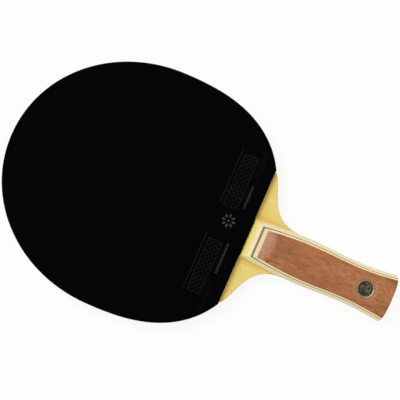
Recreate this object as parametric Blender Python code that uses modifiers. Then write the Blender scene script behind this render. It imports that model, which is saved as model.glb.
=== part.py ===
# Table tennis bat: a five-ply wooden blade, a laminated grip on each face, two rubbers and a badge.
# Lengths are in metres. The bat lies face up: +Y runs to the tip, +X to its right, +Z out of the front.
# The origin lies under the middle of its width and length, level with the back of the grip.

import math

import bmesh
import bpy
from mathutils import Vector
from mathutils.geometry import interpolate_bezier

# Plan of the blade
HEAD_WIDTH = 0.1512
TIP_TO_WIDEST = 0.0827
WIDEST_TO_CUT = 0.0729
LOWER_HEAD_BEYOND_CUT = 0.0085
TIP_POWER = 2.02
LOWER_HEAD_POWER = 2.54
SHOULDER_LENGTH = 0.0293
SHOULDER_LEAVE_DOWN = 0.0079
SHOULDER_LEAVE_IN = 0.0057
SHOULDER_FILLET_PULL = 0.0236

# Plan of the grip, measured down from the cut edge of the rubbers
GRIP_LENGTH = 0.0956
GRIP_TOP_WIDTH = 0.0255
SWELL_WIDTH = 0.0285
SWELL_PLACE = 0.0360
WAIST_WIDTH = 0.0265
WAIST_PLACE = 0.0685
BUTT_WIDTH = 0.0302
FLARE_POWER = 1.7
BUTT_CROWN = 0.0036
BUTT_POWER = 2.6

# Sanded shape of each grip scale, a blunt nose beside the rubber with a ramp over it
RAMP_CLEARANCE = 0.0003
NOSE_HEIGHT = 0.0020
RAMP_LENGTH = 0.0180
RAMP_POWER = 1.5
SIDE_ROUNDING = 0.0063
EXTRA_ROUNDING_AT_TOP = 0.0070
EXTRA_ROUNDING_FADE = 0.0180
BUTT_ROUNDING = 0.0005

# Thickness of each layer, with the same glue line between all of them
GLUE_LINE = 0.0003
CORE_PLY = 0.0026
INNER_PLY = 0.0006
FACE_PLY = 0.0006
SPONGE = 0.0018
TOPSHEET = 0.0015
GRIP_BASE = 0.00455
PALE_VENEER = 0.0006
DARK_VENEER = 0.0003
CREAM_VENEER = 0.0005
GRIP_CAP = 0.00115
RUBBER_OVERHANG = 0.0004

# Badge let into the front cap
BADGE_TO_BUTT = 0.0176
BADGE_DIAMETER = 0.0108
BADGE_RIM_WIDTH = 0.0006
BADGE_RIM_CHAMFER = 0.0002
BADGE_STANDS_PROUD = 0.0002
BADGE_DISC_SUNK = 0.0004
BADGE_CLEARANCE = 0.0003
POCKET_OVERRUN = 0.001

# Smoothness, and how exactly outlines meet
TIP_STEPS = 22
LOWER_HEAD_STEPS = 14
SHOULDER_STEPS = 16
GRIP_SIDE_STEPS = 12
BUTT_STEPS = 5
BUTT_FIT_PASSES = 4
ROUNDING_STEP = math.radians(9)
BADGE_SIDES = 48
SHARPEST_SMOOTH_ANGLE = math.radians(35)
AXIS_TOLERANCE = 0.000001
SEAM_MERGE = 0.00001

# Heights and places that follow from the sizes above
BLADE_HALF = CORE_PLY / 2 + 2 * GLUE_LINE + INNER_PLY + FACE_PLY
GRIP_LAYERS = (
    ("base", GRIP_BASE, "pale_yellow_wood"),
    ("pale_veneer", PALE_VENEER, "ivory_veneer"),
    ("dark_veneer", DARK_VENEER, "dark_veneer"),
    ("cream_veneer", CREAM_VENEER, "cream_veneer"),
    ("cap", GRIP_CAP, "red_brown_wood"),
)
SCALE_HEIGHT = sum(GLUE_LINE + thickness for _, thickness, _ in GRIP_LAYERS)
MIDDLE_HEIGHT = BLADE_HALF + SCALE_HEIGHT
TOTAL_LENGTH = RUBBER_OVERHANG + TIP_TO_WIDEST + WIDEST_TO_CUT + GRIP_LENGTH
BUTT_Y = -TOTAL_LENGTH / 2
CUT_Y = BUTT_Y + GRIP_LENGTH
WIDEST_Y = CUT_Y + WIDEST_TO_CUT
CORNER_DISTANCE = GRIP_LENGTH - BUTT_CROWN
BADGE_Y = BUTT_Y + BADGE_TO_BUTT

# Base colour, roughness and metallic value of each finish
FINISHES = {
    "black_rubber": ((0.004, 0.005, 0.007), 0.45, 0.0),
    "red_rubber": ((0.450, 0.016, 0.014), 0.45, 0.0),
    "sponge": ((0.780, 0.680, 0.520), 0.90, 0.0),
    "yellow_wood": ((0.770, 0.590, 0.160), 0.55, 0.0),
    "core_wood": ((0.700, 0.550, 0.260), 0.60, 0.0),
    "pale_yellow_wood": ((0.800, 0.670, 0.280), 0.55, 0.0),
    "ivory_veneer": ((0.830, 0.740, 0.480), 0.50, 0.0),
    "dark_veneer": ((0.270, 0.140, 0.070), 0.50, 0.0),
    "cream_veneer": ((0.790, 0.680, 0.420), 0.50, 0.0),
    "red_brown_wood": ((0.400, 0.150, 0.063), 0.50, 0.0),
    "silver_metal": ((0.620, 0.560, 0.470), 0.35, 1.0),
    "patinated_metal": ((0.070, 0.062, 0.042), 0.45, 1.0),
}


def clear_scene():
    for obj in list(bpy.data.objects):
        bpy.data.objects.remove(obj, do_unlink=True)


def new_collection(name):
    collection = bpy.data.collections.new(name)
    bpy.context.scene.collection.children.link(collection)
    return collection


def finish(name):
    material = bpy.data.materials.get(name)
    if material is None:
        colour, roughness, metallic = FINISHES[name]
        material = bpy.data.materials.new(name)
        material.use_nodes = True
        shader = material.node_tree.nodes["Principled BSDF"]
        shader.inputs["Base Color"].default_value = (*colour, 1.0)
        shader.inputs["Roughness"].default_value = roughness
        shader.inputs["Metallic"].default_value = metallic
        material.diffuse_color = (*colour, 1.0)
    return material


def new_piece(name, data, collection, parent, height):
    """An object of this shape, whose own origin stands at this height over its parent's."""
    piece = bpy.data.objects.new(name, data)
    piece.parent = parent
    piece.location = (0, 0, height)
    collection.objects.link(piece)
    return piece


def new_side(name, turn, parent, collection):
    """An empty on the blade's middle plane, whose +Z points out of one face of the bat."""
    side = bpy.data.objects.new(name, None)
    side.parent = parent
    side.rotation_euler = (0, turn, 0)
    collection.objects.link(side)
    return side


def super_arc(across, along, power, first, last, steps):
    """Points (across, along) of a superellipse between two angles, zero being on its side."""
    points = []
    for step in range(steps + 1):
        angle = first + (last - first) * step / steps
        points.append(
            (
                across * max(math.cos(angle), 0) ** (2 / power),
                along * max(math.sin(angle), 0) ** (2 / power),
            )
        )
    return points


def head_side(overhang):
    """The right side of the head, from the tip down to the cut edge, this far outside the wood."""
    half_width = HEAD_WIDTH / 2 + overhang
    tip = super_arc(half_width, TIP_TO_WIDEST + overhang, TIP_POWER, math.pi / 2, 0, TIP_STEPS)
    reach = WIDEST_TO_CUT + LOWER_HEAD_BEYOND_CUT + overhang
    cut_angle = math.asin((WIDEST_TO_CUT / reach) ** (LOWER_HEAD_POWER / 2))
    lower = super_arc(half_width, reach, LOWER_HEAD_POWER, 0, cut_angle, LOWER_HEAD_STEPS)
    points = [(x, WIDEST_Y + y) for x, y in tip[:-1]]
    return points + [(x, WIDEST_Y - y) for x, y in lower]


def grip_half_width(distance):
    """Half the grip's width at this distance below the cut edge."""
    if distance < SWELL_PLACE:
        share = math.sin(math.pi / 2 * distance / SWELL_PLACE)
        width = GRIP_TOP_WIDTH + (SWELL_WIDTH - GRIP_TOP_WIDTH) * share
    elif distance < WAIST_PLACE:
        turn = math.pi * (distance - SWELL_PLACE) / (WAIST_PLACE - SWELL_PLACE)
        width = WAIST_WIDTH + (SWELL_WIDTH - WAIST_WIDTH) * (1 + math.cos(turn)) / 2
    else:
        share = (distance - WAIST_PLACE) / (CORNER_DISTANCE - WAIST_PLACE)
        width = WAIST_WIDTH + (BUTT_WIDTH - WAIST_WIDTH) * share**FLARE_POWER
    return width / 2


def grip_side(first, last, inset, steps):
    """The right side of the grip between two distances below the cut edge, moved in by a rule."""
    points = []
    for step in range(steps + 1):
        distance = first + (last - first) * step / steps
        points.append((grip_half_width(distance) - inset(distance), CUT_Y - distance))
    return points


def butt_end(inset, shift):
    """Where a side moved in by a rule meets the crowned butt: its distance and its angle there."""
    full = grip_half_width(CORNER_DISTANCE)
    last = CORNER_DISTANCE
    for _ in range(BUTT_FIT_PASSES):
        share = min((grip_half_width(last) - inset(last)) / full, 1)
        angle = math.acos(max(share, 0) ** (BUTT_POWER / 2))
        last = CORNER_DISTANCE + BUTT_CROWN * math.sin(angle) ** (2 / BUTT_POWER) - shift
    return last, angle


def butt_side(angle, shift):
    """The right half of the crowned butt end after this angle, moved up by a shift."""
    full = grip_half_width(CORNER_DISTANCE)
    arc = super_arc(full, BUTT_CROWN, BUTT_POWER, angle, math.pi / 2, BUTT_STEPS)
    return [(x, BUTT_Y + BUTT_CROWN + shift - y) for x, y in arc[1:]]


def grip_outline_below(first, inset, shift):
    """The right side of the grip from this distance down, with its half of the butt end."""
    last, angle = butt_end(inset, shift)
    return grip_side(first, last, inset, GRIP_SIDE_STEPS) + butt_side(angle, shift)


def shoulder_side(start):
    """The curve of bare wood from the cut edge into the grip."""
    end = (grip_half_width(SHOULDER_LENGTH), CUT_Y - SHOULDER_LENGTH)
    points = interpolate_bezier(
        Vector(start),
        Vector((start[0] - SHOULDER_LEAVE_IN, start[1] - SHOULDER_LEAVE_DOWN)),
        Vector((end[0], end[1] + SHOULDER_FILLET_PULL)),
        Vector(end),
        SHOULDER_STEPS + 1,
    )
    return [(point.x, point.y) for point in points[1:]]


def both_sides(right):
    """A closed outline from its right side, which runs downwards and may start or end on the axis."""
    left = [(-x, y) for x, y in reversed(right) if x > AXIS_TOLERANCE]
    return right + left


def blade_outline():
    head = head_side(0)
    shoulder = shoulder_side(head[-1])
    grip = grip_outline_below(SHOULDER_LENGTH, lambda distance: 0, 0)
    return both_sides(head + shoulder + grip[1:])


def slab(name, outline, thickness, material):
    """A flat sheet of this outline, centred on its own middle plane."""
    curve = bpy.data.curves.new(name, "CURVE")
    curve.dimensions = "2D"
    curve.fill_mode = "BOTH"
    curve.extrude = thickness / 2
    spline = curve.splines.new("POLY")
    spline.points.add(len(outline) - 1)
    for point, (x, y) in zip(spline.points, outline):
        point.co = (x, y, 0, 1)
    spline.use_cyclic_u = True
    curve.materials.append(finish(material))
    return curve


def shaded_mesh(name, solid, material):
    """The mesh of this solid, with its round sides shaded smooth."""
    mesh = bpy.data.meshes.new(name)
    solid.to_mesh(mesh)
    solid.free()
    mesh.materials.append(finish(material))
    mesh.shade_smooth()
    mesh.set_sharp_from_angle(angle=SHARPEST_SMOOTH_ANGLE)
    return mesh


def scale_outline(height):
    """The sanded scale's outline at this height over the blade's face."""
    share = min(height / SCALE_HEIGHT, 1)
    lean = 1 - math.sqrt(1 - share**2)
    climb = min(max(height - NOSE_HEIGHT, 0) / (SCALE_HEIGHT - NOSE_HEIGHT), 1)
    ramp = RAMP_LENGTH * (1 - (1 - climb**RAMP_POWER) ** (1 / RAMP_POWER))

    def inset(distance):
        extra = EXTRA_ROUNDING_AT_TOP * math.exp(-distance / EXTRA_ROUNDING_FADE)
        return (SIDE_ROUNDING + extra) * lean

    return both_sides(grip_outline_below(RAMP_CLEARANCE + ramp, inset, BUTT_ROUNDING * lean))


def scale_layer(name, low, high, material):
    """One lamination of the scale between two heights, lofted through the outlines between them."""
    first = math.asin(min(low / SCALE_HEIGHT, 1))
    last = math.asin(min(high / SCALE_HEIGHT, 1))
    steps = max(1, math.ceil((last - first) / ROUNDING_STEP))
    solid = bmesh.new()
    rings = []
    for step in range(steps + 1):
        height = SCALE_HEIGHT * math.sin(first + (last - first) * step / steps)
        ring = [solid.verts.new((x, y, height - low)) for x, y in scale_outline(height)]
        rings.append(ring)
    solid.faces.new(rings[0])
    solid.faces.new(rings[-1])
    for lower, upper in zip(rings, rings[1:]):
        for index in range(len(lower)):
            after = (index + 1) % len(lower)
            solid.faces.new((lower[index], lower[after], upper[after], upper[index]))
    bmesh.ops.recalc_face_normals(solid, faces=solid.faces)
    return shaded_mesh(name, solid, material)


def disc_mesh(name, radius, depth, material):
    """An upright cylinder that stands on its own origin."""
    solid = bmesh.new()
    bmesh.ops.create_cone(
        solid, cap_ends=True, segments=BADGE_SIDES, radius1=radius, radius2=radius, depth=depth
    )
    bmesh.ops.translate(solid, verts=solid.verts, vec=(0, 0, depth / 2))
    return shaded_mesh(name, solid, material)


def turned_piece(name, profile, material, collection, parent, height):
    """A closed ring, from a profile (radius, height) that runs down its outer side and up its inner."""
    mesh = bpy.data.meshes.new(name)
    edges = [(index, (index + 1) % len(profile)) for index in range(len(profile))]
    mesh.from_pydata([(radius, 0, z) for radius, z in profile], edges, [])
    mesh.materials.append(finish(material))
    piece = new_piece(name, mesh, collection, parent, height)
    screw = piece.modifiers.new("turn", "SCREW")
    screw.steps = BADGE_SIDES
    screw.render_steps = BADGE_SIDES
    screw.use_merge_vertices = True
    screw.merge_threshold = SEAM_MERGE
    screw.use_smooth_shade = True
    return piece


def add_blade(middle, front, back, collection):
    outline = blade_outline()
    core = slab("core_ply", outline, CORE_PLY, "core_wood")
    new_piece("core_ply", core, collection, middle, 0)
    inner = slab("inner_ply", outline, INNER_PLY, "yellow_wood")
    face = slab("face_ply", outline, FACE_PLY, "yellow_wood")
    inner_height = CORE_PLY / 2 + GLUE_LINE + INNER_PLY / 2
    face_height = BLADE_HALF - FACE_PLY / 2
    for side in (front, back):
        new_piece(f"inner_ply_{side.name}", inner, collection, side, inner_height)
        new_piece(f"face_ply_{side.name}", face, collection, side, face_height)


def add_rubber(side, colour, collection):
    outline = both_sides(head_side(RUBBER_OVERHANG))
    sponge = slab("sponge", outline, SPONGE, "sponge")
    topsheet = slab("topsheet", outline, TOPSHEET, colour)
    sponge_height = BLADE_HALF + GLUE_LINE + SPONGE / 2
    topsheet_height = sponge_height + SPONGE / 2 + GLUE_LINE + TOPSHEET / 2
    new_piece(f"{side.name}_sponge", sponge, collection, side, sponge_height)
    new_piece(f"{side.name}_topsheet", topsheet, collection, side, topsheet_height)


def add_grip(front, back, collection):
    """Both scales, layer by layer. The front cap comes last and is handed on for its badge."""
    low = 0
    for layer, thickness, material in GRIP_LAYERS:
        low += GLUE_LINE
        mesh = scale_layer(f"grip_{layer}", low, low + thickness, material)
        for side in (back, front):
            piece = new_piece(f"grip_{layer}_{side.name}", mesh, collection, side, BLADE_HALF + low)
        low += thickness
    return piece


def add_badge(front, front_cap, collection, cutters):
    """The rim and the disc, in a round pocket that goes down to the veneer under the cap."""
    radius = BADGE_DIAMETER / 2
    seat = MIDDLE_HEIGHT - GRIP_CAP
    pocket_depth = GRIP_CAP + 2 * POCKET_OVERRUN
    pocket = disc_mesh("badge_pocket", radius + BADGE_CLEARANCE, pocket_depth, "red_brown_wood")
    cutter = new_piece("badge_pocket", pocket, cutters, front, seat - POCKET_OVERRUN)
    cutter.location.y = BADGE_Y
    cutter.hide_render = True
    cutter.display_type = "WIRE"
    cut = front_cap.modifiers.new("badge_pocket", "BOOLEAN")
    cut.operation = "DIFFERENCE"
    cut.solver = "EXACT"
    cut.object = cutter

    rim_height = GRIP_CAP + BADGE_STANDS_PROUD
    inner_radius = radius - BADGE_RIM_WIDTH
    rim_profile = (
        (inner_radius, rim_height - BADGE_RIM_CHAMFER),
        (inner_radius + BADGE_RIM_CHAMFER, rim_height),
        (radius - BADGE_RIM_CHAMFER, rim_height),
        (radius, rim_height - BADGE_RIM_CHAMFER),
        (radius, 0),
        (inner_radius, 0),
    )
    rim = turned_piece("badge_rim", rim_profile, "silver_metal", collection, front, seat)
    rim.location.y = BADGE_Y
    disc = disc_mesh(
        "badge_disc", inner_radius - BADGE_CLEARANCE, rim_height - BADGE_DISC_SUNK, "patinated_metal"
    )
    new_piece("badge_disc", disc, collection, front, seat).location.y = BADGE_Y


def main():
    clear_scene()
    bat = new_collection("table_tennis_bat")
    cutters = new_collection("cutters")
    middle = new_side("middle", 0, None, bat)
    middle.location = (0, 0, MIDDLE_HEIGHT)
    front = new_side("front", 0, middle, bat)
    back = new_side("back", math.pi, middle, bat)
    add_blade(middle, front, back, bat)
    add_rubber(front, "black_rubber", bat)
    add_rubber(back, "red_rubber", bat)
    front_cap = add_grip(front, back, bat)
    add_badge(front, front_cap, bat, cutters)


main()
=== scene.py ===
import math

import bmesh
import bpy
from mathutils import Matrix, Vector
from mathutils.geometry import interpolate_bezier


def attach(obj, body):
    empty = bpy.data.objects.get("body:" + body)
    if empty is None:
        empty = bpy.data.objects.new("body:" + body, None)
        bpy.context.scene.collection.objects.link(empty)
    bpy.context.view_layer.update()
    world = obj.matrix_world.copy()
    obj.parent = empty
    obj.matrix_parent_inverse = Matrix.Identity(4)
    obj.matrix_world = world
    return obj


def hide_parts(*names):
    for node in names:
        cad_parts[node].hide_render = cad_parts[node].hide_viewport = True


# Table tennis bat, dressed. Metres: +Y is the tip, +X the bat's right, +Z out of the black face.
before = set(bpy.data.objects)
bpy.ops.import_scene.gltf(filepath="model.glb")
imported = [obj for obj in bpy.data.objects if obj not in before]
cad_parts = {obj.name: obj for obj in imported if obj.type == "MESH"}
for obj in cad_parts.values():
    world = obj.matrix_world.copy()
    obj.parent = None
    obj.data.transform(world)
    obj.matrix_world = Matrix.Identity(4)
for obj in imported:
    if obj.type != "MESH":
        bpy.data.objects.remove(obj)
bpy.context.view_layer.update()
print("frame loaded:", len(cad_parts), "nodes")


# everything is measured up from the middle plane of the blade, on either face
level = {
    "middle": 0.0117,       # middle plane of the blade over the table
    "coreTop": 0.00145,
    "innerTop": 0.00235,
    "faceTop": 0.0031,
    "spongeTop": 0.00535,
    "pipTop": 0.00652,      # where the pips run into the rubber skin
    "skinTop": 0.0070,
}
gripBands = (               # name, node, top over the blade's face, slot
    ("gripBase", "grip_base", 0.0050, "grip_base_wood"),
    ("gripIvory", "grip_pale_veneer", 0.0060, "ivory_veneer"),
    ("gripDarkLine", "grip_dark_veneer", 0.0065, "dark_veneer"),
    ("gripCream", "grip_cream_veneer", 0.00725, "cream_veneer"),
    ("gripCap", "grip_cap", 0.0086, "red_brown_wood"),
)


# outlines

head = {
    "width": 0.1512,
    "tipToWidest": 0.0827,
    "widestToCut": 0.0729,
    "beyondCut": 0.0085,
    "tipPower": 2.02,
    "lowerPower": 2.54,
    "tipSteps": 64,
    "lowerSteps": 40,
    "overhang": 0.0004,     # the rubber stands this far over the wood
}
shoulder = {
    "length": 0.0293,
    "leaveDown": 0.0079,
    "leaveIn": 0.0057,
    "filletPull": 0.0236,
    "steps": 40,
}
grip = {
    "length": 0.0956,
    "topWidth": 0.0255,
    "swellWidth": 0.0285,
    "swellPlace": 0.0360,
    "waistWidth": 0.0265,
    "waistPlace": 0.0685,
    "buttWidth": 0.0302,
    "flarePower": 1.7,
    "crown": 0.0036,
    "crownPower": 2.6,
    "sideSteps": 48,
    "buttSteps": 14,
    "fitPasses": 5,
}
totalLength = head["overhang"] + head["tipToWidest"] + head["widestToCut"] + grip["length"]
buttY = -totalLength / 2
cutY = buttY + grip["length"]
widestY = cutY + head["widestToCut"]
cornerDistance = grip["length"] - grip["crown"]
sharpestCorner = 0.3        # keeps a needle corner from running far inwards
samePlace = 1e-6            # points nearer than this are one


def superArc(across, along, power, first, last, steps):
    # part of a superellipse's quarter, between two angles
    points = []
    for step in range(steps + 1):
        angle = first + (last - first) * step / steps
        x = across * max(math.cos(angle), 0) ** (2 / power)
        points.append((x, along * max(math.sin(angle), 0) ** (2 / power)))
    return points


def headSide(overhang):
    # right side of the head, tip to cut edge
    halfWidth = head["width"] / 2 + overhang
    tipReach = head["tipToWidest"] + overhang
    tip = superArc(halfWidth, tipReach, head["tipPower"], math.pi / 2, 0, head["tipSteps"])
    reach = head["widestToCut"] + head["beyondCut"] + overhang
    cutAngle = math.asin((head["widestToCut"] / reach) ** (head["lowerPower"] / 2))
    lower = superArc(halfWidth, reach, head["lowerPower"], 0, cutAngle, head["lowerSteps"])
    return [(x, widestY + y) for x, y in tip[:-1]] + [(x, widestY - y) for x, y in lower]


def gripHalfWidth(distance):
    # distance runs down from the cut edge
    if distance < grip["swellPlace"]:
        share = math.sin(math.pi / 2 * distance / grip["swellPlace"])
        width = grip["topWidth"] + (grip["swellWidth"] - grip["topWidth"]) * share
    elif distance < grip["waistPlace"]:
        turn = math.pi * (distance - grip["swellPlace"]) / (grip["waistPlace"] - grip["swellPlace"])
        fall = grip["swellWidth"] - grip["waistWidth"]
        width = grip["waistWidth"] + fall * (1 + math.cos(turn)) / 2
    else:
        share = (distance - grip["waistPlace"]) / (cornerDistance - grip["waistPlace"])
        flare = grip["buttWidth"] - grip["waistWidth"]
        width = grip["waistWidth"] + flare * share ** grip["flarePower"]
    return width / 2


def gripBelow(first, inset, shift):
    # right side of the grip from this distance down, round to the middle of the butt
    full = gripHalfWidth(cornerDistance)
    last = cornerDistance
    for _ in range(grip["fitPasses"]):
        share = min((gripHalfWidth(last) - inset(last)) / full, 1)
        angle = math.acos(max(share, 0) ** (grip["crownPower"] / 2))
        last = cornerDistance + grip["crown"] * math.sin(angle) ** (2 / grip["crownPower"]) - shift
    points = []
    for step in range(grip["sideSteps"] + 1):
        distance = first + (last - first) * step / grip["sideSteps"]
        points.append((gripHalfWidth(distance) - inset(distance), cutY - distance))
    arc = superArc(full, grip["crown"], grip["crownPower"], angle, math.pi / 2, grip["buttSteps"])
    return points + [(x, buttY + grip["crown"] + shift - y) for x, y in arc[1:]]


def bothSides(right):
    return right + [(-x, y) for x, y in reversed(right) if x > samePlace]


def bladeOutline():
    top = headSide(0)
    endDistance = shoulder["length"]
    endX = gripHalfWidth(endDistance)
    endY = cutY - endDistance
    startX, startY = top[-1]
    curve = interpolate_bezier(
        Vector((startX, startY)),
        Vector((startX - shoulder["leaveIn"], startY - shoulder["leaveDown"])),
        Vector((endX, endY + shoulder["filletPull"])),
        Vector((endX, endY)),
        shoulder["steps"] + 1,
    )
    bend = [(point.x, point.y) for point in curve[1:]]
    return bothSides(top + bend + gripBelow(endDistance, lambda distance: 0, 0)[1:])


def insetBy(outline, amounts):
    # the outline moved inwards by its own amount at each point, corners kept sharp
    count = len(outline)
    moved = []
    for index, (x, y) in enumerate(outline):
        before = Vector(outline[index - 1])
        here = Vector((x, y))
        after = Vector(outline[(index + 1) % count])
        first = (here - before).normalized()
        second = (after - here).normalized()
        inward = Vector((first.y + second.y, -first.x - second.x))
        inward.normalize()
        stretch = max(inward.dot(Vector((first.y, -first.x))), sharpestCorner)
        place = here + inward * (amounts[index] / stretch)
        moved.append((place.x, place.y))
    return moved


# mesh helpers

def joinRings(solid, rings):
    # a band of faces between each ring of vertices and the next
    for ring, after in zip(rings, rings[1:]):
        for index in range(len(ring)):
            follow = (index + 1) % len(ring)
            solid.faces.new((ring[index], ring[follow], after[follow], after[index]))


def addLoft(solid, rings):
    # rings are lists of points with as many points each, the first and last are closed off
    made = [[solid.verts.new(point) for point in ring] for ring in rings]
    solid.faces.new(made[0])
    solid.faces.new(made[-1])
    joinRings(solid, made)


def addRounded(solid, outline, low, high, amounts, steps):
    # a slab whose upper edge is rounded by its own amount at each point
    rings = [[(x, y, low) for x, y in outline]]
    for step in range(steps + 1):
        angle = math.pi / 2 * step / steps
        inset = insetBy(outline, [amount * (1 - math.cos(angle)) for amount in amounts])
        falls = [amount * (1 - math.sin(angle)) for amount in amounts]
        rings.append([(x, y, high - fall) for (x, y), fall in zip(inset, falls)])
    addLoft(solid, rings)


def turns(count, start=0):
    # angles evenly spaced once round
    return [2 * math.pi * (step + start) / count for step in range(count)]


def around(centre, radius, angle):
    return centre[0] + radius * math.cos(angle), centre[1] + radius * math.sin(angle)


def addTurned(solid, profile, centre, sides):
    # profile points (radius, height), closed on itself, turned about an upright axis
    rings = []
    for angle in turns(sides):
        points = [(*around(centre, radius, angle), height) for radius, height in profile]
        rings.append([solid.verts.new(point) for point in points])
    joinRings(solid, rings + rings[:1])


def addDrum(solid, profile, centre, sides):
    # profile points (radius, height), turned about an upright axis, with flat ends
    rings = []
    for radius, height in profile:
        rings.append([(*around(centre, radius, angle), height) for angle in turns(sides)])
    addLoft(solid, rings)


def sideMatrix(side):
    up = Matrix.Translation((0, 0, level["middle"]))
    return up if side == "front" else up @ Matrix.Rotation(math.pi, 4, "Y")


def placeSolid(name, solid, side):
    # turns a bmesh into an object on one face of the bat
    bmesh.ops.transform(solid, matrix=sideMatrix(side), verts=solid.verts)
    mesh = bpy.data.meshes.new(name)
    solid.to_mesh(mesh)
    solid.free()
    placed = bpy.data.objects.new(name, mesh)
    bpy.context.scene.collection.objects.link(placed)
    return placed


mostCorners = 8             # a face with more corners than this is a flat end


def makePiece(name, solid, side, material, nodes, sharpFrom=32):
    # its edges are sharp from this many degrees on
    bmesh.ops.recalc_face_normals(solid, faces=solid.faces)
    for face in solid.faces:
        face.smooth = True
    for edge in solid.edges:
        flatSide = any(len(face.verts) > mostCorners for face in edge.link_faces)
        if flatSide or edge.calc_face_angle(0) > math.radians(sharpFrom):
            edge.smooth = False
    piece = placeSolid(name, solid, side)
    piece.data.materials.append(material)
    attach(piece, "root")
    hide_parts(*nodes)
    return piece


# material helpers

def addNode(tree, kind, settings=(), values=()):
    # a value is a number, a colour or the socket that feeds it
    made = tree.nodes.new(kind)
    for key, value in dict(settings).items():
        setattr(made, key, value)
    for key, value in dict(values).items():
        if isinstance(value, bpy.types.NodeSocket):
            tree.links.new(value, made.inputs[key])
        else:
            made.inputs[key].default_value = value
    return made


class Paint:
    # a Principled material whose patterns lie in the bat's own frame

    def __init__(self, name, roughness, metallic=0.0, specular=0.5):
        self.material = bpy.data.materials.new(name)
        self.material.use_nodes = True
        self.tree = self.material.node_tree
        self.shader = self.tree.nodes["Principled BSDF"]
        self.shader.inputs["Roughness"].default_value = roughness
        self.shader.inputs["Metallic"].default_value = metallic
        self.shader.inputs["Specular IOR Level"].default_value = specular
        self.place = self.tree.nodes.new("ShaderNodeTexCoord").outputs["Object"]

    def node(self, kind, settings=(), values=()):
        return addNode(self.tree, kind, settings, values)

    def noise(self, size, detail, roughness, distortion=0.0):
        # size is how far one patch reaches along X, Y and Z, in millimetres
        scale = tuple(1000 / length for length in size)
        moved = self.node("ShaderNodeMapping", values={"Vector": self.place, "Scale": scale})
        values = {"Vector": moved.outputs["Vector"], "Scale": 1.0, "Detail": detail}
        values.update({"Roughness": roughness, "Distortion": distortion})
        return self.node("ShaderNodeTexNoise", values=values).outputs["Fac"]

    def spread(self, value, low, high, newLow=0.0, newHigh=1.0):
        made = self.node(
            "ShaderNodeMapRange",
            {"interpolation_type": "SMOOTHSTEP"},
            {"Value": value, "From Min": low, "From Max": high, "To Min": newLow, "To Max": newHigh},
        )
        return made.outputs["Result"]

    def maths(self, operation, first, second=0.0):
        made = self.node("ShaderNodeMath", {"operation": operation}, {0: first, 1: second})
        return made.outputs["Value"]

    def times(self, first, second):
        return self.maths("MULTIPLY", first, second)

    def mix(self, share, first, second):
        # the colours go in at sockets 6 and 7 and come out at 2
        pair = [(*colour, 1.0) if isinstance(colour, tuple) else colour for colour in (first, second)]
        made = self.node("ShaderNodeMix", {"data_type": "RGBA"}, {0: share, 6: pair[0], 7: pair[1]})
        return made.outputs[2]

    def axis(self, name):
        parts = self.node("ShaderNodeSeparateXYZ", values={"Vector": self.place})
        return parts.outputs[name]

    def distance(self, point):
        made = self.node("ShaderNodeVectorMath", {"operation": "DISTANCE"}, {0: self.place, 1: point})
        return made.outputs["Value"]

    def finish(self, colour, roughness, height, bump, reach):
        links = self.tree.links
        links.new(colour, self.shader.inputs["Base Color"])
        if roughness:
            links.new(roughness, self.shader.inputs["Roughness"])
        made = self.node("ShaderNodeBump", values={"Height": height, "Strength": bump, "Distance": reach})
        links.new(made.outputs["Normal"], self.shader.inputs["Normal"])
        return self.material


wood = {                    # patterns end with detail, roughness and perhaps distortion
    "specular": 0.35,
    "fibres": (3.0, 0.55),
    "figure": (2.0, 0.55, 0.6),
    "figureTimes": (14, 4), # how much wider and longer than a fibre the broad figure is
    "fibreShare": 0.55,
    "figureShare": 0.45,
    "toneSpan": (0.36, 0.64),
    "pores": (2.0, 0.6),
    "poreSpan": 0.10,
    "blotches": (3.2, 9.0, 2.0, 0.5, 0.4),  # millimetres across and along the grain come first
    "blotchSpan": (0.40, 0.62),
    "ripples": (2.4, 0.8, 3.0, 0.6),
    "rippleSpan": (0.42, 0.60),
    "ragged": (0.6, 3.5, 3.0, 0.65),
    "streaks": (3.0, 0.6),
    "streakSpan": (0.47, 0.60),
    "shineSpan": (0.3, 0.7),
    "smoother": 0.06,
    "rougher": 0.08,
    "bump": 0.35,
    "bumpReach": 0.00006,
}


def stain(start, end, share, colour, **more):
    # grows from start to end, two places along the bat unless more says otherwise
    return {"start": start, "end": end, "share": share, "colour": colour, **more}


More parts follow.
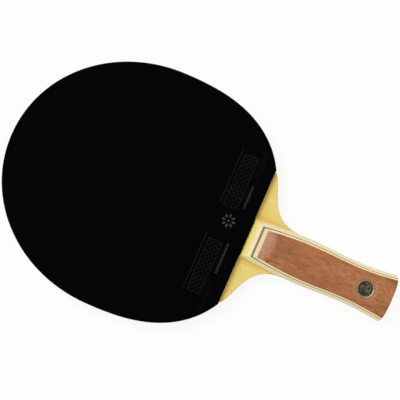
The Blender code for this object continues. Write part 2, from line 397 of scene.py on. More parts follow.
def woodPaint(name, look):
    # fibres, broad figure and open pores that all run along one axis
    paint = Paint(name, look["roughness"], specular=wood["specular"])
    turned = "crossGrain" in look

    def grain(wide, length, detail, roughness, distortion=0.0):
        size = (length, wide, wide) if turned else (wide, length, wide)
        return paint.noise(size, detail, roughness, distortion)

    across, along = look["fibre"]
    wider, longer = wood["figureTimes"]
    fibres = grain(across, along, *wood["fibres"])
    figure = grain(across * wider, along * longer, *wood["figure"])
    fibreTone = paint.times(fibres, wood["fibreShare"])
    tone = paint.maths("ADD", fibreTone, paint.times(figure, wood["figureShare"]))
    colour = paint.mix(paint.spread(tone, *wood["toneSpan"]), look["dark"], look["pale"])
    height = fibres
    if "pore" in look:
        holes = grain(*look["poreSize"], *wood["pores"])
        holes = paint.spread(holes, look["poreFrom"], look["poreFrom"] + wood["poreSpan"])
        colour = paint.mix(paint.times(holes, look["poreDepth"]), colour, look["pore"])
        height = paint.maths("SUBTRACT", fibres, holes)
    if "blotch" in look:
        # slow changes of hue, a few millimetres wide
        patches = paint.spread(grain(*wood["blotches"]), *wood["blotchSpan"])
        patches = paint.times(patches, look["blotchShare"])
        colour = paint.mix(patches, colour, look["blotch"])
    if "ripple" in look:
        # faint figure across the fibres
        ripples = grain(*wood["ripples"])
        ripples = paint.spread(ripples, *wood["rippleSpan"], 0.0, look["rippleShare"])
        colour = paint.mix(ripples, colour, look["ripple"])
    for extra in look.get("stains", ()):
        # a soft stain between two places along the bat, or two distances from its axis or from a point
        x = paint.axis("X")
        if "around" in extra:
            place = paint.distance(extra["around"])
        elif "fromAxis" in extra:
            place = paint.maths("ABSOLUTE", x)
        else:
            bowed = paint.times(paint.times(x, x), extra.get("bow", 0.0))
            place = paint.maths("ADD", paint.axis("Y"), bowed)
        if "ragged" in extra:
            uneven = paint.maths("SUBTRACT", grain(*wood["ragged"]), 0.5)
            place = paint.maths("ADD", place, paint.times(uneven, extra["ragged"]))
        share = paint.spread(place, extra["start"], extra["end"])
        if "streak" in extra:
            streaks = grain(*extra["streak"], *wood["streaks"])
            share = paint.times(share, paint.spread(streaks, *wood["streakSpan"]))
        colour = paint.mix(paint.times(share, extra["share"]), colour, extra["colour"])
    smooth, rough = look["roughness"] - wood["smoother"], look["roughness"] + wood["rougher"]
    shine = paint.spread(fibres, *wood["shineSpan"], smooth, rough)
    return paint.finish(colour, shine, height, look.get("bump", wood["bump"]), wood["bumpReach"])


# blade

bladeWood = {
    "pale": (0.845, 0.705, 0.215),
    "dark": (0.765, 0.595, 0.150),
    "roughness": 0.46,
    "fibre": (0.45, 16.0),
    "blotch": (0.815, 0.600, 0.140),
    "blotchShare": 0.5,
    "stains": (
        # painted shade beside the rubber's cut edge: the wood there is painted darker and more orange
        stain(cutY - 0.0045, cutY - 0.0008, 0.60, (0.760, 0.480, 0.030)),
        # painted shade on the shoulders beside the grip's sides, darker and more orange
        stain(0.0175, 0.0135, 0.72, (0.690, 0.430, 0.055), fromAxis=True),
    ),
}
coreWood = {
    "pale": (0.720, 0.560, 0.280),
    "dark": (0.560, 0.400, 0.170),
    "roughness": 0.62,
    "fibre": (0.5, 10.0),
    "bump": 0.5,
}
innerWood = {
    "pale": (0.640, 0.450, 0.150),
    "dark": (0.470, 0.290, 0.080),
    "roughness": 0.60,
    "fibre": (0.4, 9.0),
    "crossGrain": True,
    "bump": 0.5,
}
bladeEdge = {
    "round": 0.00065,       # sanded edge of the face ply on the shoulders
    "fadeFrom": 0.0030,     # full round this far below the cut edge
    "roundSteps": 4,
}


def plySlab(outline, low, high):
    solid = bmesh.new()
    addLoft(solid, [[(x, y, height) for x, y in outline] for height in (low, high)])
    return solid


def facePly(outline, low, high):
    # its upper edge is sanded round where the rubber doesn't cover it
    amounts = []
    for x, y in outline:
        share = min(max((cutY - y) / bladeEdge["fadeFrom"], 0), 1)
        amounts.append(bladeEdge["round"] * share)
    solid = bmesh.new()
    addRounded(solid, outline, low, high, amounts, bladeEdge["roundSteps"])
    bmesh.ops.remove_doubles(solid, verts=solid.verts, dist=samePlace)
    return solid


def dressBlade():
    outline = bladeOutline()
    face = woodPaint("bladeFaceWood", bladeWood)
    inner = woodPaint("bladeInnerWood", innerWood)
    core = woodPaint("bladeCoreWood", coreWood)
    slab = plySlab(outline, -level["coreTop"], level["coreTop"])
    makePiece("bladeCore", slab, "front", core, ["core_ply"])
    for side in ("front", "back"):
        slab = plySlab(outline, level["coreTop"], level["innerTop"])
        makePiece("bladeInner_" + side, slab, side, inner, ["inner_ply_" + side])
        slab = facePly(outline, level["innerTop"], level["faceTop"])
        makePiece("bladeFace_" + side, slab, side, face, ["face_ply_" + side])
    print("blade done")


# rubbers

rubber = {
    "edgeRound": 0.00012,
    "edgeSteps": 3,
    "spongeLean": 0.00022,
    "pipPitch": 0.00205,
    "pipRadius": 0.00078,
    "pipRoot": 0.00092,     # radius where the pip runs into the skin
    "flareFrom": 0.00615,   # height over the blade's middle at which it starts to widen
    "pipSides": 12,
    "pipDepth": 0.0058,     # pips are made this far in from the cut edge all round
    "smallestPip": 0.15,    # a cut pip with less than this share of its foot falls off
    "rootSink": 0.00005,
    "sharpFrom": 40,        # degrees
}
relief = {
    "rise": 0.00013,
    "sink": 0.00004,
    "bevelKnee": 0.15,      # a bevel is half way up at this share of its width
    "beadSection": ((0.2, 0.72), (0.5, 1), (0.8, 0.72)),    # shares of its width and of the rise
    "ruleY": -0.0066,
    "ruleHalf": 0.00025,
    "ruleBevel": 0.00020,
    "ruleSpans": ((0.0128, 0.0486), (-0.0434, -0.0067)),
    "panelLow": -0.0180,
    "panelHigh": -0.0086,
    "panelSpans": ((0.0122, 0.0462), (-0.0437, -0.0091)),
    "panelRows": 3,         # rows of meshes in the lattice
    "panelFrame": 0.00040,  # width of the bead round it
    "barHalf": 0.00015,
    "barBevel": 0.00008,
    "barUnder": 0.82,       # the bars that pass below stand this share as high
    "smallestBar": 3e-7,
    "rosetteCentre": (0.0046, -0.0158),
    "rosettePetals": 8,
    "rosetteReach": 0.0031,
    "petalHalf": (0.00080, 0.00145),
    "petalBevel": 0.00025,
    "budHalf": (0.00090, 0.00090),
    "dotY": -0.0213,
    "dotSpans": ((0.0149, 0.0298), (-0.0279, -0.0073)),
    "dotPitch": 0.00124,
    "dotHalf": (0.00052, 0.00105),
    "dotBevel": 0.00020,
    "outerRuleY": (-0.0200, -0.0212, -0.0224),
    "outerRuleFrom": 0.0335,
    "outerRuleHalf": 0.000125,
    "outerRuleBevel": 0.00010,
    "outerRuleGap": 0.004,  # ends this far inside the edge of the rubber
}
rubbing = {                 # how the tops of the moulded ornament are painted paler: worn, and a painted sheen
    "raised": (0.00003, 0.0001),        # heights over the skin between which it sets in
    "patches": ((12, 12, 12), 1.0, 0.4),    # millimetres, slow, so that neighbouring bars are paler alike
    "patchSpan": (0.38, 0.62),
    "least": 0.75,
    "outerRules": 0.7,      # painted less pale than the rest
    "innerHalf": (0.0340, 0.0315),
    "lowRow": (-0.0192, -0.0200),
    "dotsGlint": 0.16,     # share of the glint colour, a painted highlight
    "rosetteGlint": 0.34,
    "rosetteFade": (0.0070, 0.0050),
}


def sideOf(edge, x, y):
    # below zero on the inner side of a clockwise outline's edge
    (ax, ay), (bx, by) = edge
    return (bx - ax) * (y - ay) - (by - ay) * (x - ax)


def clipToOutline(polygon, edges):
    # keeps the part of a small convex polygon that lies inside these edges
    for edge in edges:
        kept = []
        for index, (x, y) in enumerate(polygon):
            px, py = polygon[index - 1]
            here, last = sideOf(edge, x, y), sideOf(edge, px, py)
            if (here <= 0) != (last <= 0):
                share = last / (last - here)
                kept.append((px + (x - px) * share, py + (y - py) * share))
            if here <= 0:
                kept.append((x, y))
        # a corner that lies on the line would come twice
        polygon = []
        for index, point in enumerate(kept):
            if math.dist(point, kept[index - 1]) > samePlace:
                polygon.append(point)
        if len(polygon) < 3:
            return []
    return polygon


def areaOf(polygon):
    total = 0
    for index, (x, y) in enumerate(polygon):
        px, py = polygon[index - 1]
        total += px * y - x * py
    return abs(total) / 2


def addPips(solid, outline):
    # the outer rows of pips, in a triangular lattice, the outermost ones cut through by the knife
    edges = list(zip(outline, outline[1:] + outline[:1]))
    pitch = rubber["pipPitch"]
    rowStep = pitch * math.sqrt(3) / 2
    lowY, highY = min(y for x, y in outline), max(y for x, y in outline)
    reachX = max(x for x, y in outline)
    smallest = rubber["smallestPip"] * math.pi * rubber["pipRadius"] ** 2
    row = 0
    y = lowY
    while y < highY + pitch:
        x = -math.ceil(reachX / pitch) * pitch + (pitch / 2 if row % 2 else 0)
        while x < reachX + pitch:
            depths = [-sideOf(edge, x, y) / math.dist(*edge) for edge in edges]
            if -rubber["pipRadius"] < min(depths) < rubber["pipDepth"]:
                near = [edge for edge, depth in zip(edges, depths) if depth < 2 * rubber["pipRoot"]]
                addPip(solid, x, y, near, smallest)
            x += pitch
        y += rowStep
        row += 1


def addPip(solid, x, y, near, smallest):
    # stands on the sponge and runs into the skin with a slight flare
    radius = rubber["pipRadius"]
    foot = []
    for angle in turns(rubber["pipSides"]):
        foot.append((x - radius * math.cos(angle), y + radius * math.sin(angle)))
    foot = clipToOutline(foot, near)
    if not foot or areaOf(foot) < smallest:
        return
    flare = rubber["pipRoot"] / radius
    root = []
    for footX, footY in foot:
        wide = (x + (footX - x) * flare, y + (footY - y) * flare)
        root.append(wide if all(sideOf(edge, *wide) <= 0 for edge in near) else (footX, footY))
    rootTop = level["pipTop"] + rubber["rootSink"]
    rings = []
    for polygon, height in ((foot, level["spongeTop"]), (foot, rubber["flareFrom"]), (root, rootTop)):
        rings.append([(px, py, height) for px, py in polygon])
    addLoft(solid, rings)


def addSkin(solid, outline):
    amounts = [rubber["edgeRound"]] * len(outline)
    addRounded(solid, outline, level["pipTop"], level["skinTop"], amounts, rubber["edgeSteps"])


def addRaisedLine(solid, outline, wide):
    # a low rounded bead that follows a closed outline
    section = ((0, -relief["sink"]), *relief["beadSection"], (1, -relief["sink"]))
    rings = []
    for share, rise in section:
        inset = insetBy(outline, [wide * share] * len(outline))
        height = level["skinTop"] + (rise if rise < 0 else rise * relief["rise"])
        rings.append([solid.verts.new((x, y, height)) for x, y in inset])
    joinRings(solid, rings + rings[:1])


def addRaisedPad(solid, outline, bevel, lower=1.0):
    rings = []
    rise = relief["rise"] * lower
    for share, height in ((0, -relief["sink"]), (relief["bevelKnee"], rise / 2), (1, rise)):
        inset = insetBy(outline, [bevel * share] * len(outline))
        rings.append([(x, y, level["skinTop"] + height) for x, y in inset])
    addLoft(solid, rings)


def boxOutline(lowX, highX, lowY, highY):
    # clockwise
    return [(lowX, lowY), (lowX, highY), (highX, highY), (highX, lowY)]


def lozenge(centre, half, angle=math.pi / 2):
    # clockwise, its length turned to this angle
    along = Vector((math.cos(angle), math.sin(angle)))
    across = Vector((-along.y, along.x))
    middle = Vector(centre)
    corners = (-along * half[1], across * half[0], along * half[1], -across * half[0])
    return [tuple(middle + corner) for corner in corners]


def addRosette(solid):
    centre = relief["rosetteCentre"]
    for angle in turns(relief["rosettePetals"]):
        place = around(centre, relief["rosetteReach"], angle)
        addRaisedPad(solid, lozenge(place, relief["petalHalf"], angle), relief["petalBevel"])
    addRaisedPad(solid, lozenge(centre, relief["budHalf"]), relief["petalBevel"])


def addPanel(solid, lowX, highX):
    # a framed lattice of slanting bars, one way passing over the other
    lowY, highY = relief["panelLow"], relief["panelHigh"]
    addRaisedLine(solid, boxOutline(lowX, highX, lowY, highY), relief["panelFrame"])
    # the bars end in the middle of the frame
    lip = relief["panelFrame"] / 2
    inside = boxOutline(lowX + lip, highX - lip, lowY + lip, highY - lip)
    edges = list(zip(inside, inside[1:] + inside[:1]))
    tall = highY - lowY
    count = round((highX - lowX) / tall * relief["panelRows"])
    pitch = (highX - lowX) / count
    run = pitch * relief["panelRows"]
    half = relief["barHalf"] * math.hypot(run, tall) / tall
    for slant, lower in ((run, 1.0), (-run, relief["barUnder"])):
        for index in range(-relief["panelRows"], count + relief["panelRows"] + 1):
            foot = lowX + pitch * index
            tip = foot + slant
            bar = [(foot - half, lowY), (tip - half, highY), (tip + half, highY), (foot + half, lowY)]
            bar = clipToOutline(bar, edges)
            if bar and areaOf(bar) > relief["smallestBar"]:
                addRaisedPad(solid, bar, relief["barBevel"], lower)


def addRule(solid, lowX, highX, y, half, bevel):
    addRaisedPad(solid, boxOutline(lowX, highX, y - half, y + half), bevel)


def addRelief(solid, headEdge):
    # a plain moulded ornament beside the cut edge: rules, lattice panels, a rosette and dots
    for low, high in relief["ruleSpans"]:
        addRule(solid, low, high, relief["ruleY"], relief["ruleHalf"], relief["ruleBevel"])
    for low, high in relief["panelSpans"]:
        addPanel(solid, low, high)
    addRosette(solid)
    for low, high in relief["dotSpans"]:
        for index in range(int((high - low) / relief["dotPitch"])):
            place = (low + relief["dotPitch"] * (index + 0.5), relief["dotY"])
            addRaisedPad(solid, lozenge(place, relief["dotHalf"]), relief["dotBevel"])
    for ruleY in relief["outerRuleY"]:
        edgeX = headEdge(ruleY) - relief["outerRuleGap"]
        for low, high in ((relief["outerRuleFrom"], edgeX), (-edgeX, -relief["outerRuleFrom"])):
            addRule(solid, low, high, ruleY, relief["outerRuleHalf"], relief["outerRuleBevel"])


sheetFinish = {             # patterns: millimetres along X, Y and Z, detail and roughness
    "clouds": ((45, 45, 45), 3.0, 0.55),
    "cloudSpan": (0.35, 0.65),
    "dust": ((0.8, 0.8, 0.8), 2.0, 0.5),
    "dustSpan": (0.74, 0.78),
    "dustShare": 0.5,
    "haze": ((5, 5, 5), 3.0, 0.6),
    "hazeSpan": (0.3, 0.7),
    "hazeChange": 0.015,
    "grain": ((0.16, 0.16, 0.16), 2.0, 0.5),
    "bump": (0.12, 0.00003),            # strength and reach
}


def rubberPaint(name, look):
    paint = Paint(name, look["roughness"], specular=look["specular"])
    clouds = paint.noise(*sheetFinish["clouds"])
    colour = paint.mix(paint.spread(clouds, *sheetFinish["cloudSpan"]), look["deep"], look["base"])
    dust = paint.spread(paint.noise(*sheetFinish["dust"]), *sheetFinish["dustSpan"])
    colour = paint.mix(paint.times(dust, sheetFinish["dustShare"]), colour, look["dust"])
    # the tops of the moulded lines are painted paler in places: partly rubbed by handling, partly a
    # painted sheen standing in for the light their edges catch
    fromMiddle = paint.maths("ABSOLUTE", paint.maths("SUBTRACT", paint.axis("Z"), level["middle"]))
    low, high = (level["skinTop"] + rise for rise in rubbing["raised"])
    raised = paint.spread(fromMiddle, low, high)
    wearAndSheenPatches = paint.spread(paint.noise(*rubbing["patches"]), *rubbing["patchSpan"], rubbing["least"], 1.0)
    raised = paint.times(raised, wearAndSheenPatches)
    inner = paint.spread(paint.maths("ABSOLUTE", paint.axis("X")), *rubbing["innerHalf"])
    lowRow = paint.spread(paint.axis("Y"), *rubbing["lowRow"])
    outerRow = paint.times(lowRow, paint.maths("SUBTRACT", 1.0, inner))
    wornAndSheen = paint.times(raised, paint.spread(outerRow, 0.0, 1.0, 1.0, rubbing["outerRules"]))
    colour = paint.mix(wornAndSheen, colour, look["wornAndSheen"])
    # painted highlights: the dots and the rosette are brightened towards the glint colour, each row evenly
    away = paint.distance((*relief["rosetteCentre"], level["middle"] + level["skinTop"]))
    dots = paint.spread(paint.times(lowRow, inner), 0.0, 1.0, 0.0, rubbing["dotsGlint"])
    petals = paint.spread(away, *rubbing["rosetteFade"], 0.0, rubbing["rosetteGlint"])
    brightened = paint.times(raised, paint.maths("ADD", dots, petals))
    colour = paint.mix(brightened, colour, look["glint"])
    haze = paint.noise(*sheetFinish["haze"])
    change = sheetFinish["hazeChange"]
    smooth, rough = look["roughness"] - change, look["roughness"] + change
    shine = paint.spread(haze, *sheetFinish["hazeSpan"], smooth, rough)
    grainy = paint.noise(*sheetFinish["grain"])
    return paint.finish(colour, shine, grainy, *sheetFinish["bump"])


def spongePaint(name, look):
    paint = Paint(name, look["roughness"], specular=look["specular"])
    cells = paint.node(
        "ShaderNodeTexVoronoi",
        {"feature": "F1"},
        {"Vector": paint.place, "Scale": 1000 / look["cell"]},
    )
    pore = paint.spread(cells.outputs["Distance"], *look["poreSpan"])
    colour = paint.mix(pore, look["pore"], look["base"])
    patches = paint.noise(*look["patches"])
    patches = paint.spread(patches, *look["patchSpan"], 0.0, look["patchShare"])
    colour = paint.mix(patches, colour, look["patch"])
    return paint.finish(colour, None, pore, *look["bump"])


blackRubber = {
    "base": (0.0007, 0.0009, 0.0015),
    "deep": (0.0004, 0.0006, 0.0012),
    "dust": (0.0040, 0.0042, 0.0048),
    "wornAndSheen": (0.0130, 0.0132, 0.0135),
    "glint": (0.1600, 0.1640, 0.1600),
    "roughness": 0.46,
    "specular": 0.012,
}
redRubber = {
    "base": (0.480, 0.018, 0.016),
    "deep": (0.400, 0.012, 0.012),
    "dust": (0.520, 0.090, 0.080),
    "wornAndSheen": (0.540, 0.040, 0.034),
    "glint": (0.700, 0.240, 0.210),
    "roughness": 0.38,
    "specular": 0.35,
}
spongeLook = {
    "base": (0.820, 0.720, 0.560),
    "pore": (0.560, 0.450, 0.310),
    "patch": (0.760, 0.640, 0.460),
    "cell": 0.28,           # millimetres
    "poreSpan": (0.1, 0.5),
    "patches": ((3, 3, 3), 3.0, 0.6),
    "patchSpan": (0.3, 0.7),
    "patchShare": 0.35,
    "roughness": 0.9,
    "specular": 0.2,
    "bump": (0.8, 0.00012),
}


def dressRubbers():
    rightSide = headSide(head["overhang"])
    outline = bothSides(rightSide)

    def headEdge(y):
        # half width of the lower head at this place along the bat
        return min(rightSide[head["tipSteps"]:], key=lambda point: abs(point[1] - y))[0]

    # the knife leant a little at the cut edge, so the sponge's foot shows there on both shoulders
    lean = rubber["spongeLean"]
    gripEdge = grip["topWidth"] / 2 + lean
    spongeTop = bothSides(rightSide + [(gripEdge + lean, cutY), (gripEdge, cutY)])
    spongeFoot = []
    for x, y in spongeTop:
        leans = y < cutY + samePlace and abs(x) > gripEdge + samePlace
        spongeFoot.append((x, y - lean if leans else y))
    foam = spongePaint("rubberSponge", spongeLook)
    for side, look, slot in (("front", blackRubber, "black_rubber"), ("back", redRubber, "red_rubber")):
        paint = rubberPaint(slot, look)
        sheet = bmesh.new()
        addSkin(sheet, outline)
        addRelief(sheet, headEdge)
        addPips(sheet, outline)
        nodes = [side + "_topsheet"]
        makePiece("rubberSheet_" + side, sheet, side, paint, nodes, rubber["sharpFrom"])
        slab = bmesh.new()
        lowRing = [(x, y, level["faceTop"]) for x, y in spongeFoot]
        addLoft(slab, [lowRing, [(x, y, level["spongeTop"]) for x, y in spongeTop]])
        makePiece("rubberSponge_" + side, slab, side, foam, [side + "_sponge"])
        print("rubber done:", side)


# grip

scale = {
    "height": gripBands[-1][2],
    "rampClear": 0.0001,
    "nose": 0.0020,         # blunt height beside the rubber, under the ramp
    "rampLength": 0.0180,
    "rampPower": 1.5,
    "sideRound": 0.0063,
    "extraRound": 0.0070,
    "extraFade": 0.0180,
    "buttRound": 0.0005,
    "roundStep": math.radians(2.5),
    "badgeUp": 0.0176,      # the badge's middle over the end of the butt
}
badgeMiddle = (0, buttY + scale["badgeUp"], level["middle"] + level["faceTop"] + scale["height"])
gripLooks = {
    "gripBase": {
        "pale": (0.815, 0.735, 0.410), "dark": (0.735, 0.640, 0.325),
        "roughness": 0.45, "fibre": (0.45, 14.0),
        "stains": (
            # yellow only where it is sanded across at the head end
            stain(cutY - 0.0120, cutY - 0.0045, 0.90, (0.855, 0.680, 0.160)),
            # and paler again towards the next layer
            stain(cutY - 0.0024, cutY - 0.0044, 0.40, (0.870, 0.810, 0.520)),
        ),
    },
    "gripIvory": {
        "pale": (0.870, 0.800, 0.540), "dark": (0.790, 0.705, 0.430),
        "roughness": 0.45, "fibre": (0.4, 12.0),
        # a little yellow dragged over it from the ramp
        "stains": (stain(cutY - 0.0056, cutY - 0.0038, 0.35, (0.870, 0.740, 0.270)),),
    },
    "gripDarkLine": {
        "pale": (0.330, 0.178, 0.068), "dark": (0.215, 0.108, 0.040),
        "roughness": 0.45, "fibre": (0.3, 8.0),
    },
    "gripCream": {
        "pale": (0.775, 0.680, 0.415), "dark": (0.700, 0.595, 0.330),
        "roughness": 0.45, "fibre": (0.4, 12.0),
        # cleaner along the sides than on the ramp
        "stains": (stain(cutY - 0.0105, cutY - 0.0135, 0.90, (0.930, 0.770, 0.465)),),
    },
    "gripCap": {
        "pale": (0.515, 0.200, 0.054), "dark": (0.270, 0.083, 0.017),
        "pore": (0.130, 0.040, 0.014), "poreSize": (0.42, 2.6), "poreFrom": 0.55, "poreDepth": 0.75,
        "blotch": (0.430, 0.152, 0.060), "blotchShare": 0.50,
        "ripple": (0.300, 0.090, 0.030), "rippleShare": 0.22,
        "roughness": 0.44, "fibre": (0.60, 8.0), "bump": 0.5,
        "stains": (
            # scratches of the sanding block at the head of the ramp
            stain(
                cutY - 0.0232, cutY - 0.0192, 0.70, (0.140, 0.050, 0.026),
                bow=-36.0, ragged=0.005, streak=(0.60, 2.6),
            ),
            # paler where the ramp is sanded through the finish, up to a bowed edge, and partly a painted
            # highlight where the ramp faces the key lamp
            stain(cutY - 0.0198, cutY - 0.0158, 0.60, (0.500, 0.236, 0.110), bow=-36.0, ragged=0.007),
            # with paler marks of the sanding block in it, also part of that painted highlight
            stain(
                cutY - 0.0180, cutY - 0.0150, 0.52, (0.620, 0.325, 0.168),
                bow=-36.0, ragged=0.004, streak=(0.55, 1.8),
            ),
            # a paler ring painted round the dish's outer edge as its highlight, and painted shade in the
            # dish beside the rim
            stain(0.0086, 0.0074, 0.30, (0.450, 0.215, 0.110), around=badgeMiddle),
            stain(0.0070, 0.0060, 0.40, (0.265, 0.138, 0.074), around=badgeMiddle),
            # painted shade along the end of the butt, which faces away from the key lamp
            stain(buttY + 0.0015, buttY + 0.0005, 0.60, (0.200, 0.078, 0.036), bow=-7.5),
        ),
    },
}


def scaleRing(height):
    share = min(height / scale["height"], 1)
    lean = 1 - math.sqrt(1 - share**2)
    climb = min(max(height - scale["nose"], 0) / (scale["height"] - scale["nose"]), 1)
    ramp = scale["rampLength"] * (1 - (1 - climb ** scale["rampPower"]) ** (1 / scale["rampPower"]))

    def inset(distance):
        extra = scale["extraRound"] * math.exp(-distance / scale["extraFade"])
        return (scale["sideRound"] + extra) * lean

    outline = bothSides(gripBelow(scale["rampClear"] + ramp, inset, scale["buttRound"] * lean))
    return [(x, y, level["faceTop"] + height) for x, y in outline]


def scaleBand(low, high):
    first = math.asin(min(low / scale["height"], 1))
    last = math.asin(min(high / scale["height"], 1))
    steps = max(2, math.ceil((last - first) / scale["roundStep"]))
    angles = [first + (last - first) * step / steps for step in range(steps + 1)]
    solid = bmesh.new()
    addLoft(solid, [scaleRing(scale["height"] * math.sin(angle)) for angle in angles])
    return solid


def dressGrip():
    caps = {}
    for side in ("front", "back"):
        low = 0
        for name, node, top, slot in gripBands:
            material = bpy.data.materials.get(name) or woodPaint(name, gripLooks[name])
            caps[side] = makePiece(
                name + "_" + side, scaleBand(low, top), side, material, [node + "_" + side]
            )
            low = top
    print("grip done")
    return caps["front"]


# badge

badge = {
    "centreY": badgeMiddle[1],
    "seat": 0.00115,        # depth of its pocket in the cap
    "proud": 0.0002,
    "outer": 0.0054,
    "rimWidth": 0.00070,
    "rimCrest": 0.00022,    # from the rim's outside to its highest line
    "rimEdge": 0.00012,
    "rimFall": 0.00016,     # its inner face slopes down by this much
    "discSunk": 0.00042,
    "discGap": 0.00006,
    "discEdge": 0.0001,     # bevel round the disc
    "sides": 96,
    "pocketGap": 0.00008,
    "cutterReach": 0.001,   # the pocket's cutter goes this far past the seat and the top
    "dishReach": 0.0015,    # the wood is rubbed down a little round the rim
    "dishDepth": 0.00016,
    "dishClear": 0.00001,   # its outer edge runs out just over the wood
}
rimMetal = {                # its colours, roughness and bump follow the grain
    "grain": ((0.9, 0.9, 0.9), 3.0, 0.6),
    "grainSpan": (0.35, 0.7),
    "colours": ((0.440, 0.335, 0.240), (0.300, 0.215, 0.140)),
    "shineSpan": (0.3, 0.7, 0.36, 0.52),    # from and to in the grain, then in roughness
    "roughness": 0.42,
    "bump": (0.15, 0.00004),
}
discMetal = {
    "grain": ((1.8, 1.8, 1.8), 4.0, 0.6),
    "grainSpan": (0.45, 0.55),
    "colours": ((0.008, 0.007, 0.005), (0.120, 0.106, 0.066)),
    "shineSpan": (0.3, 0.7, 0.34, 0.55),
    "roughness": 0.42,
    "bump": (0.3, 0.00006),
    "stain": (0.028, 0.016, 0.006),
    "stainFade": (0.0027, 0.0043),
    "stainShare": 0.85,
    "polishReach": 0.0016,
    "polishShare": 0.8,
    "line": (0.330, 0.300, 0.205),
    "lineSpan": (0.00002, 0.00008),     # heights over the disc
    "lineShare": 0.6,
}
rosette = {
    "waves": 8,
    "middle": 0.0026,
    "swing": 0.0011,
    "turns": 3,
    "line": 0.00022,
    "rise": 0.00010,
    "sink": 0.00003,
    "section": ((-0.5, 0), (-0.25, 1), (0.25, 1), (0.5, 0)),    # shares of the line and of its rise
    "steps": 160,
    "rings": (0.0042, 0.0012),
}


def waveRadius(angle, phase):
    return rosette["middle"] + rosette["swing"] * math.cos(rosette["waves"] * angle + phase)


def addRing(solid, radiusAt, line, low, high):
    # a fine raised line whose radius follows a rule of the angle
    rings = []
    # half a step on, so that lines cross between their points
    for angle in turns(rosette["steps"], 0.5):
        ring = []
        for share, rise in rosette["section"]:
            x, y = around((0, badge["centreY"]), radiusAt(angle) + line * share, angle)
            ring.append(solid.verts.new((x, y, low + (high - low) * rise)))
        rings.append(ring)
    joinRings(solid, rings + rings[:1])


def cutPocket(cap, top, seat, centre):
    # a round pocket with a shallow dish round it
    wall = badge["outer"] + badge["pocketGap"]
    dish = wall + badge["dishReach"]
    profile = (
        (wall, seat - badge["cutterReach"]),
        (wall, top - badge["dishDepth"]),
        (dish, top + badge["dishClear"]),
        (dish, top + badge["cutterReach"]),
    )
    cutter = bmesh.new()
    addDrum(cutter, profile, centre, badge["sides"])
    bmesh.ops.recalc_face_normals(cutter, faces=cutter.faces)
    pocket = placeSolid("badgePocket", cutter, "front")
    cut = cap.modifiers.new("badgePocket", "BOOLEAN")
    cut.operation = "DIFFERENCE"
    cut.solver = "EXACT"
    cut.object = pocket
    bpy.context.view_layer.update()
    graph = bpy.context.evaluated_depsgraph_get()
    done = bpy.data.meshes.new_from_object(cap.evaluated_get(graph))
    cap.modifiers.clear()
    cap.data = done
    bpy.data.objects.remove(pocket)


def metalPaint(name, look, addMarks=None):
    paint = Paint(name, look["roughness"], metallic=1.0)
    grain = paint.noise(*look["grain"])
    colour = paint.mix(paint.spread(grain, *look["grainSpan"]), *look["colours"])
    if addMarks:
        colour = addMarks(paint, look, colour)
    shine = paint.spread(grain, *look["shineSpan"])
    return paint.finish(colour, shine, grain, *look["bump"])


def dressBadge(cap):
    top = level["faceTop"] + scale["height"]
    seat = top - badge["seat"]
    centre = (0, badge["centreY"])
    cutPocket(cap, top, seat, centre)

    # rim, rounded outside and with a gentle slope down to the disc
    rimTop = top + badge["proud"]
    inner = badge["outer"] - badge["rimWidth"]
    crest = badge["outer"] - badge["rimCrest"]
    knee = badge["rimEdge"] / 3         # middle point of its rounded corner
    rim = bmesh.new()
    profile = (
        (badge["outer"], seat),
        (badge["outer"], rimTop - badge["rimEdge"]),
        (badge["outer"] - knee, rimTop - knee),
        (crest, rimTop),
        ((crest + inner) / 2, rimTop - badge["rimFall"] / 2),
        (inner, rimTop - badge["rimFall"]),
        (inner, seat),
    )
    addTurned(rim, profile, centre, badge["sides"])
    metal = metalPaint("badgeRimMetal", rimMetal)
    makePiece("badgeRim", rim, "front", metal, ["badge_rim"])

    # disc with a turned rosette of raised lines
    discTop = rimTop - badge["discSunk"]
    discRadius = inner - badge["discGap"]
    discEdge = badge["discEdge"]
    disc = bmesh.new()
    profile = ((discRadius, seat), (discRadius, discTop - discEdge), (discRadius - discEdge, discTop))
    addDrum(disc, profile, centre, badge["sides"])
    low, high = discTop - rosette["sink"], discTop + rosette["rise"]
    for phase in turns(rosette["turns"]):
        addRing(disc, lambda angle: waveRadius(angle, phase), rosette["line"], low, high)
    for radius in rosette["rings"]:
        addRing(disc, lambda angle: radius, rosette["line"], low, high)
    discLevel = level["middle"] + discTop

    def addMarks(paint, look, colour):
        # stained outside, polished in the middle, the raised lines bright
        outwards = paint.distance((*centre, discLevel))
        stained = paint.spread(outwards, *look["stainFade"], 0.0, look["stainShare"])
        colour = paint.mix(stained, colour, look["stain"])
        brightened = paint.spread(outwards, look["polishReach"], 0.0, 0.0, look["polishShare"])
        colour = paint.mix(brightened, colour, look["colours"][1])
        lineFoot, lineTop = (discLevel + rise for rise in look["lineSpan"])
        raised = paint.spread(paint.axis("Z"), lineFoot, lineTop, 0.0, look["lineShare"])
        return paint.mix(raised, colour, look["line"])

    metal = metalPaint("badgeDiscMetal", discMetal, addMarks)
    makePiece("badgeDisc", disc, "front", metal, ["badge_disc"])
    print("badge done")


# stage

stage = {
    "floorHalf": 30.0,
    "floorDrop": 0.0001,
    "floorColour": (0.93, 0.93, 0.93),
    "floorGlow": 0.88,      # share of plain white that the floor shows to the eye and to shiny metal
    "lens": 300.0,
    "sensor": 36.0,
    "viewWidth": 0.2430,    # what the picture takes in, side to side
    "viewPlane": 0.0150,    # height at which it does
    "aim": (0.0092, 0.0051),
    "turn": math.radians(23.6 - 90),    # so that the grip points down to the right at 23.6 degrees
    "clipEnd": 100.0,
    "room": (1.0, 1.0, 1.0),
    "wallGlow": 1.0,
    "ceilingGlow": 0.05,
    # name, across and up the picture, degrees above the table, strength, degrees wide
    "lamps": (
        ("keyLamp", -0.75, 0.66, 66, 1.88, 36),
        ("fillLamp", 0.80, -0.25, 40, 0.42, 90),
    ),
}


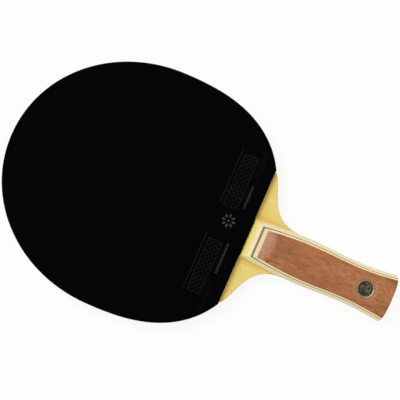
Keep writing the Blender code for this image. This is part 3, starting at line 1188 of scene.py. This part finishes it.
def dressFloor(scene):
    floorMesh = bpy.data.meshes.new("floor")
    reach = stage["floorHalf"]
    corners = [(-reach, -reach), (reach, -reach), (reach, reach), (-reach, reach)]
    floorMesh.from_pydata([(x, y, -stage["floorDrop"]) for x, y in corners], [], [(0, 1, 2, 3)])
    floor = bpy.data.objects.new("floor", floorMesh)
    scene.collection.objects.link(floor)
    material = bpy.data.materials.new("floorWhite")
    material.use_nodes = True
    tree = material.node_tree
    tree.nodes.clear()
    # camera, glossy and transmission rays see it plain white, the others see it matte
    path = addNode(tree, "ShaderNodeLightPath")
    seen = path.outputs["Is Camera Ray"]
    for ray in ("Is Glossy Ray", "Is Transmission Ray"):
        either = addNode(tree, "ShaderNodeMath", {"operation": "MAXIMUM"}, {0: seen, 1: path.outputs[ray]})
        seen = either.outputs[0]
    share = addNode(tree, "ShaderNodeMath", {"operation": "MULTIPLY"}, {0: seen, 1: stage["floorGlow"]})
    matte = addNode(tree, "ShaderNodeBsdfDiffuse", values={"Color": (*stage["floorColour"], 1.0)})
    glow = addNode(tree, "ShaderNodeEmission")
    sockets = {0: share.outputs[0], 1: matte.outputs[0], 2: glow.outputs[0]}
    both = addNode(tree, "ShaderNodeMixShader", values=sockets)
    addNode(tree, "ShaderNodeOutputMaterial", values={"Surface": both.outputs[0]})
    floorMesh.materials.append(material)


def dressRoom(scene):
    # bright walls, dark ceiling behind the camera
    world = bpy.data.worlds.new("room")
    scene.world = world
    world.use_nodes = True
    tree = world.node_tree
    sky = tree.nodes["Background"]
    coords = addNode(tree, "ShaderNodeTexCoord")
    parts = addNode(tree, "ShaderNodeSeparateXYZ", values={0: coords.outputs["Generated"]})
    heights = {"Value": parts.outputs["Z"], "From Min": 0.0, "From Max": 1.0}
    glows = {"To Min": stage["wallGlow"], "To Max": stage["ceilingGlow"]}
    fade = addNode(tree, "ShaderNodeMapRange", values={**heights, **glows})
    tree.links.new(fade.outputs["Result"], sky.inputs["Strength"])
    sky.inputs["Color"].default_value = (*stage["room"], 1.0)


def addLamps(scene):
    # soft lamps: the key comes from the picture's upper left
    cosTurn, sinTurn = math.cos(stage["turn"]), math.sin(stage["turn"])
    for name, across, up, lift, strength, size in stage["lamps"]:
        lamp = bpy.data.lights.new(name, "SUN")
        lamp.energy = strength
        lamp.angle = math.radians(size)
        side = Vector((across * cosTurn - up * sinTurn, across * sinTurn + up * cosTurn, 0)).normalized()
        towards = side * math.cos(math.radians(lift)) + Vector((0, 0, math.sin(math.radians(lift))))
        holder = bpy.data.objects.new(name, lamp)
        holder.rotation_euler = towards.to_track_quat("Z", "Y").to_euler()
        scene.collection.objects.link(holder)


def addCamera(scene):
    camera = bpy.data.cameras.new("camera")
    camera.lens = stage["lens"]
    camera.sensor_width = stage["sensor"]
    camera.clip_end = stage["clipEnd"]
    height = stage["viewWidth"] * stage["lens"] / stage["sensor"] + stage["viewPlane"]
    holder = bpy.data.objects.new("camera", camera)
    holder.location = (*stage["aim"], height)
    holder.rotation_euler = (0, 0, stage["turn"])
    scene.collection.objects.link(holder)
    scene.camera = holder


def dressStage():
    scene = bpy.context.scene
    scene.view_settings.view_transform = "Standard"
    dressFloor(scene)
    dressRoom(scene)
    addLamps(scene)
    addCamera(scene)
    print("stage done")


dressBlade()
dressRubbers()
dressBadge(dressGrip())
dressStage()
